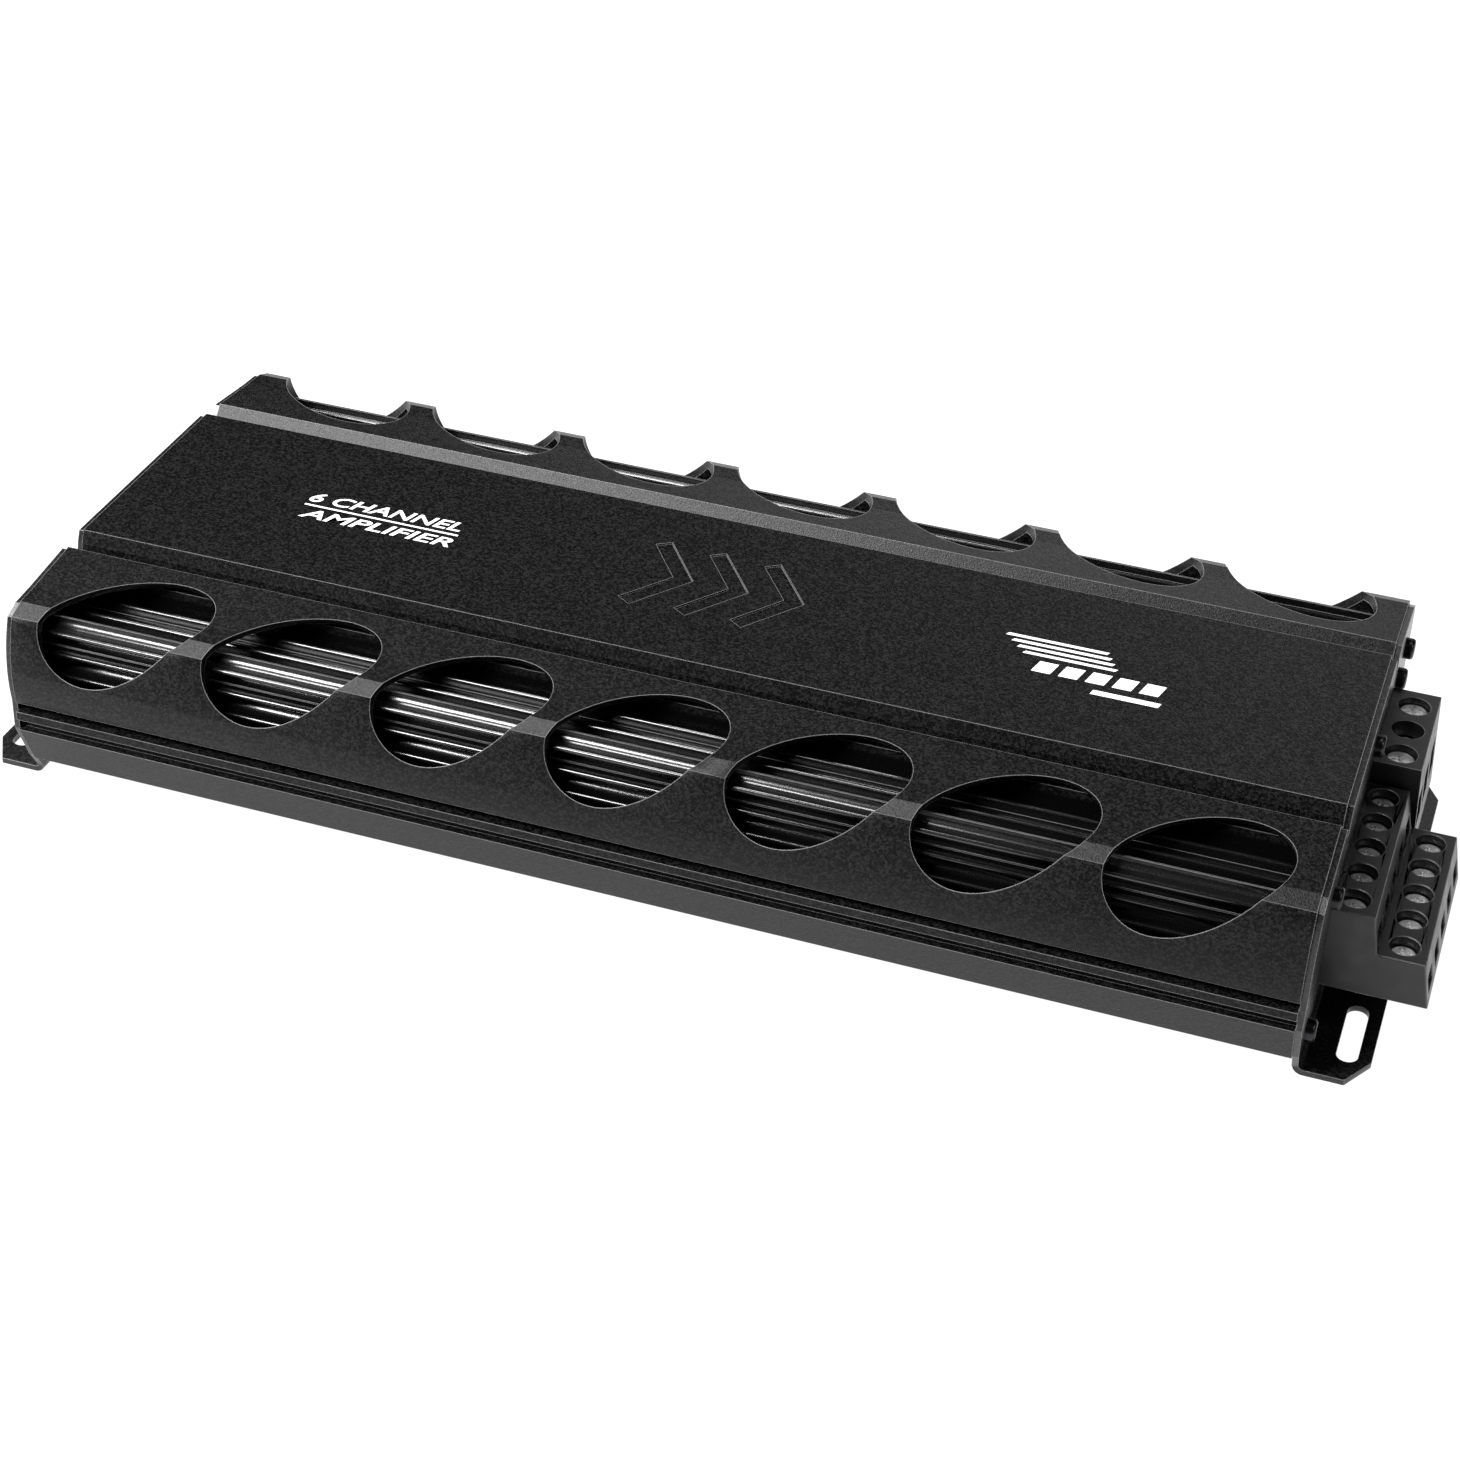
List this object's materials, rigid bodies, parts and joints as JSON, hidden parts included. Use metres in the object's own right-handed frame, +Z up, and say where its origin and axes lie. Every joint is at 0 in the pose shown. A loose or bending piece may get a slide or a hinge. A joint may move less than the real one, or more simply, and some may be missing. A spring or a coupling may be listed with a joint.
{
  "type": "car amplifier",
  "caption": "Long, flat car audio amplifier: black finned heat sink under oval-vented cowls, slotted feet, screw terminals at one end, phono jacks and controls at the other.",
  "frame": {"origin": "middle of the whole object in plan, at the underside of the feet", "axes": "+X along the heat sink towards the screw terminals, +Y to the rear cowl, +Z up through the top panel"},
  "size_m": [0.375, 0.15, 0.0577],
  "materials": {
    "black_aluminium": "fine textured powder coat",
    "black_steel": "satin paint",
    "black_screw": "black oxide, slightly glossy",
    "plain_steel": "satin",
    "bright_screw": "bright nickel plate",
    "nickel_brass": "plated, satin",
    "terminal_plastic": "moulded, fine grain",
    "knob_plastic": "moulded, satin",
    "switch_plastic": "moulded, satin",
    "jack_insulator": "gloss",
    "circuit_board": "solder mask",
    "component_plastic": "moulded epoxy",
    "copper_wire": "enamelled copper wire",
    "capacitor_sleeve": "shrink sleeve",
    "ferrite": "pressed ferrite with wire",
    "indicator_lens": "diffusing lens"
  },
  "bodies": {
    "chassis": {"heatsink": "black_aluminium", "front_cowl": "black_aluminium", "rear_cowl": "black_aluminium", "output_end_plate": "black_steel", "input_end_plate": "black_steel", "plate_screws": "black_screw", "bottom_cover": "black_steel", "cover_screws": "black_screw", "board_standoffs": "plain_steel", "board_screws": "plain_steel", "circuit_board": "circuit_board", "transistors": "component_plastic", "transistor_clamp_bars": "plain_steel", "toroid_transformer": "copper_wire", "filter_capacitors": "capacitor_sleeve", "output_inductors": "ferrite", "speaker_terminal_block": "terminal_plastic", "power_terminal_block": "terminal_plastic", "terminal_contacts": "nickel_brass", "jack_housings": "terminal_plastic", "jack_barrels": "nickel_brass", "jack_inserts": "jack_insulator", "control_bodies": "plain_steel", "switch_bodies": "plain_steel", "indicator_lights": "indicator_lens"},
    "speaker_pad_1": {"speaker_pad_1": "plain_steel"},
    "speaker_screw_1": {"speaker_screw_1": "bright_screw"},
    "speaker_pad_2": {"speaker_pad_2": "plain_steel"},
    "speaker_screw_2": {"speaker_screw_2": "bright_screw"},
    "speaker_pad_3": {"speaker_pad_3": "plain_steel"},
    "speaker_screw_3": {"speaker_screw_3": "bright_screw"},
    "speaker_pad_4": {"speaker_pad_4": "plain_steel"},
    "speaker_screw_4": {"speaker_screw_4": "bright_screw"},
    "speaker_pad_5": {"speaker_pad_5": "plain_steel"},
    "speaker_screw_5": {"speaker_screw_5": "bright_screw"},
    "speaker_pad_6": {"speaker_pad_6": "plain_steel"},
    "speaker_screw_6": {"speaker_screw_6": "bright_screw"},
    "speaker_pad_7": {"speaker_pad_7": "plain_steel"},
    "speaker_screw_7": {"speaker_screw_7": "bright_screw"},
    "speaker_pad_8": {"speaker_pad_8": "plain_steel"},
    "speaker_screw_8": {"speaker_screw_8": "bright_screw"},
    "speaker_pad_9": {"speaker_pad_9": "plain_steel"},
    "speaker_screw_9": {"speaker_screw_9": "bright_screw"},
    "speaker_pad_10": {"speaker_pad_10": "plain_steel"},
    "speaker_screw_10": {"speaker_screw_10": "bright_screw"},
    "power_pad_1": {"power_pad_1": "plain_steel"},
    "power_screw_1": {"power_screw_1": "bright_screw"},
    "power_pad_2": {"power_pad_2": "plain_steel"},
    "power_screw_2": {"power_screw_2": "bright_screw"},
    "power_pad_3": {"power_pad_3": "plain_steel"},
    "power_screw_3": {"power_screw_3": "bright_screw"},
    "gain_knob_1": {"gain_knob_1": "knob_plastic"},
    "crossover_knob_1": {"crossover_knob_1": "knob_plastic"},
    "gain_knob_2": {"gain_knob_2": "knob_plastic"},
    "crossover_knob_2": {"crossover_knob_2": "knob_plastic"},
    "gain_knob_3": {"gain_knob_3": "knob_plastic"},
    "crossover_knob_3": {"crossover_knob_3": "knob_plastic"},
    "mode_switch_1": {"mode_switch_1": "switch_plastic"},
    "mode_switch_2": {"mode_switch_2": "switch_plastic"},
    "mode_switch_3": {"mode_switch_3": "switch_plastic"}
  },
  "joints": [
    {"name": "speaker_clamp_1", "type": "slide", "parent": "chassis", "child": "speaker_pad_1", "axis": [0, 0, 1], "range_m": [0, 0.0022]},
    {"name": "speaker_turn_1", "type": "hinge", "parent": "speaker_pad_1", "child": "speaker_screw_1", "pos_m": [0.16618, 0.0021, 0.0371], "axis": [0, 0, 1], "range_deg": [-1, 1321]},
    {"name": "speaker_clamp_2", "type": "slide", "parent": "chassis", "child": "speaker_pad_2", "axis": [0, 0, 1], "range_m": [0, 0.0022]},
    {"name": "speaker_turn_2", "type": "hinge", "parent": "speaker_pad_2", "child": "speaker_screw_2", "pos_m": [0.16618, -0.0089, 0.0371], "axis": [0, 0, 1], "range_deg": [-1, 1321]},
    {"name": "speaker_clamp_3", "type": "slide", "parent": "chassis", "child": "speaker_pad_3", "axis": [0, 0, 1], "range_m": [0, 0.0022]},
    {"name": "speaker_turn_3", "type": "hinge", "parent": "speaker_pad_3", "child": "speaker_screw_3", "pos_m": [0.16618, -0.0199, 0.0371], "axis": [0, 0, 1], "range_deg": [-1, 1321]},
    {"name": "speaker_clamp_4", "type": "slide", "parent": "chassis", "child": "speaker_pad_4", "axis": [0, 0, 1], "range_m": [0, 0.0022]},
    {"name": "speaker_turn_4", "type": "hinge", "parent": "speaker_pad_4", "child": "speaker_screw_4", "pos_m": [0.16618, -0.0309, 0.0371], "axis": [0, 0, 1], "range_deg": [-1, 1321]},
    {"name": "speaker_clamp_5", "type": "slide", "parent": "chassis", "child": "speaker_pad_5", "axis": [0, 0, 1], "range_m": [0, 0.0022]},
    {"name": "speaker_turn_5", "type": "hinge", "parent": "speaker_pad_5", "child": "speaker_screw_5", "pos_m": [0.16618, -0.0419, 0.0371], "axis": [0, 0, 1], "range_deg": [-1, 1321]},
    {"name": "speaker_clamp_6", "type": "slide", "parent": "chassis", "child": "speaker_pad_6", "axis": [0, 0, 1], "range_m": [0, 0.0022]},
    {"name": "speaker_turn_6", "type": "hinge", "parent": "speaker_pad_6", "child": "speaker_screw_6", "pos_m": [0.17938, 0.0021, 0.0268], "axis": [0, 0, 1], "range_deg": [-1, 1321]},
    {"name": "speaker_clamp_7", "type": "slide", "parent": "chassis", "child": "speaker_pad_7", "axis": [0, 0, 1], "range_m": [0, 0.0022]},
    {"name": "speaker_turn_7", "type": "hinge", "parent": "speaker_pad_7", "child": "speaker_screw_7", "pos_m": [0.17938, -0.0089, 0.0268], "axis": [0, 0, 1], "range_deg": [-1, 1321]},
    {"name": "speaker_clamp_8", "type": "slide", "parent": "chassis", "child": "speaker_pad_8", "axis": [0, 0, 1], "range_m": [0, 0.0022]},
    {"name": "speaker_turn_8", "type": "hinge", "parent": "speaker_pad_8", "child": "speaker_screw_8", "pos_m": [0.17938, -0.0199, 0.0268], "axis": [0, 0, 1], "range_deg": [-1, 1321]},
    {"name": "speaker_clamp_9", "type": "slide", "parent": "chassis", "child": "speaker_pad_9", "axis": [0, 0, 1], "range_m": [0, 0.0022]},
    {"name": "speaker_turn_9", "type": "hinge", "parent": "speaker_pad_9", "child": "speaker_screw_9", "pos_m": [0.17938, -0.0309, 0.0268], "axis": [0, 0, 1], "range_deg": [-1, 1321]},
    {"name": "speaker_clamp_10", "type": "slide", "parent": "chassis", "child": "speaker_pad_10", "axis": [0, 0, 1], "range_m": [0, 0.0022]},
    {"name": "speaker_turn_10", "type": "hinge", "parent": "speaker_pad_10", "child": "speaker_screw_10", "pos_m": [0.17938, -0.0419, 0.0268], "axis": [0, 0, 1], "range_deg": [-1, 1321]},
    {"name": "power_clamp_1", "type": "slide", "parent": "chassis", "child": "power_pad_1", "axis": [0, 0, 1], "range_m": [-0.00356, 0.00149]},
    {"name": "power_turn_1", "type": "hinge", "parent": "power_pad_1", "child": "power_screw_1", "pos_m": [0.16778, 0.0363, 0.0433], "axis": [0, 0, 1], "range_deg": [-1601, 671]},
    {"name": "power_clamp_2", "type": "slide", "parent": "chassis", "child": "power_pad_2", "axis": [0, 0, 1], "range_m": [-0.00078, 0.00429]},
    {"name": "power_turn_2", "type": "hinge", "parent": "power_pad_2", "child": "power_screw_2", "pos_m": [0.16778, 0.0249, 0.0433], "axis": [0, 0, 1], "range_deg": [-351, 1931]},
    {"name": "power_clamp_3", "type": "slide", "parent": "chassis", "child": "power_pad_3", "axis": [0, 0, 1], "range_m": [-0.00356, 0.00149]},
    {"name": "power_turn_3", "type": "hinge", "parent": "power_pad_3", "child": "power_screw_3", "pos_m": [0.16778, 0.0135, 0.0433], "axis": [0, 0, 1], "range_deg": [-1601, 671]},
    {"name": "gain_turn_1", "type": "hinge", "parent": "chassis", "child": "gain_knob_1", "pos_m": [-0.16992, 0, 0.0205], "axis": [-1, 0, 0], "range_deg": [-150, 150]},
    {"name": "crossover_turn_1", "type": "hinge", "parent": "chassis", "child": "crossover_knob_1", "pos_m": [-0.16992, 0, 0.0345], "axis": [-1, 0, 0], "range_deg": [-150, 150]},
    {"name": "gain_turn_2", "type": "hinge", "parent": "chassis", "child": "gain_knob_2", "pos_m": [-0.16992, 0.012, 0.0205], "axis": [-1, 0, 0], "range_deg": [-150, 150]},
    {"name": "crossover_turn_2", "type": "hinge", "parent": "chassis", "child": "crossover_knob_2", "pos_m": [-0.16992, 0.012, 0.0345], "axis": [-1, 0, 0], "range_deg": [-150, 150]},
    {"name": "gain_turn_3", "type": "hinge", "parent": "chassis", "child": "gain_knob_3", "pos_m": [-0.16992, 0.024, 0.0205], "axis": [-1, 0, 0], "range_deg": [-150, 150]},
    {"name": "crossover_turn_3", "type": "hinge", "parent": "chassis", "child": "crossover_knob_3", "pos_m": [-0.16992, 0.024, 0.0345], "axis": [-1, 0, 0], "range_deg": [-150, 150]},
    {"name": "mode_slide_1", "type": "slide", "parent": "chassis", "child": "mode_switch_1", "axis": [0, 1, 0], "range_m": [0, 0.004]},
    {"name": "mode_slide_2", "type": "slide", "parent": "chassis", "child": "mode_switch_2", "axis": [0, 1, 0], "range_m": [0, 0.004]},
    {"name": "mode_slide_3", "type": "slide", "parent": "chassis", "child": "mode_switch_3", "axis": [0, 1, 0], "range_m": [0, 0.004]}
  ],
  "couplings": [
    {"joint": "speaker_turn_1", "follows": "speaker_clamp_1", "rad_per_m": 10472},
    {"joint": "speaker_turn_2", "follows": "speaker_clamp_2", "rad_per_m": 10472},
    {"joint": "speaker_turn_3", "follows": "speaker_clamp_3", "rad_per_m": 10472},
    {"joint": "speaker_turn_4", "follows": "speaker_clamp_4", "rad_per_m": 10472},
    {"joint": "speaker_turn_5", "follows": "speaker_clamp_5", "rad_per_m": 10472},
    {"joint": "speaker_turn_6", "follows": "speaker_clamp_6", "rad_per_m": 10472},
    {"joint": "speaker_turn_7", "follows": "speaker_clamp_7", "rad_per_m": 10472},
    {"joint": "speaker_turn_8", "follows": "speaker_clamp_8", "rad_per_m": 10472},
    {"joint": "speaker_turn_9", "follows": "speaker_clamp_9", "rad_per_m": 10472},
    {"joint": "speaker_turn_10", "follows": "speaker_clamp_10", "rad_per_m": 10472},
    {"joint": "power_turn_1", "follows": "power_clamp_1", "rad_per_m": 7854},
    {"joint": "power_turn_2", "follows": "power_clamp_2", "rad_per_m": 7854},
    {"joint": "power_turn_3", "follows": "power_clamp_3", "rad_per_m": 7854}
  ]
}
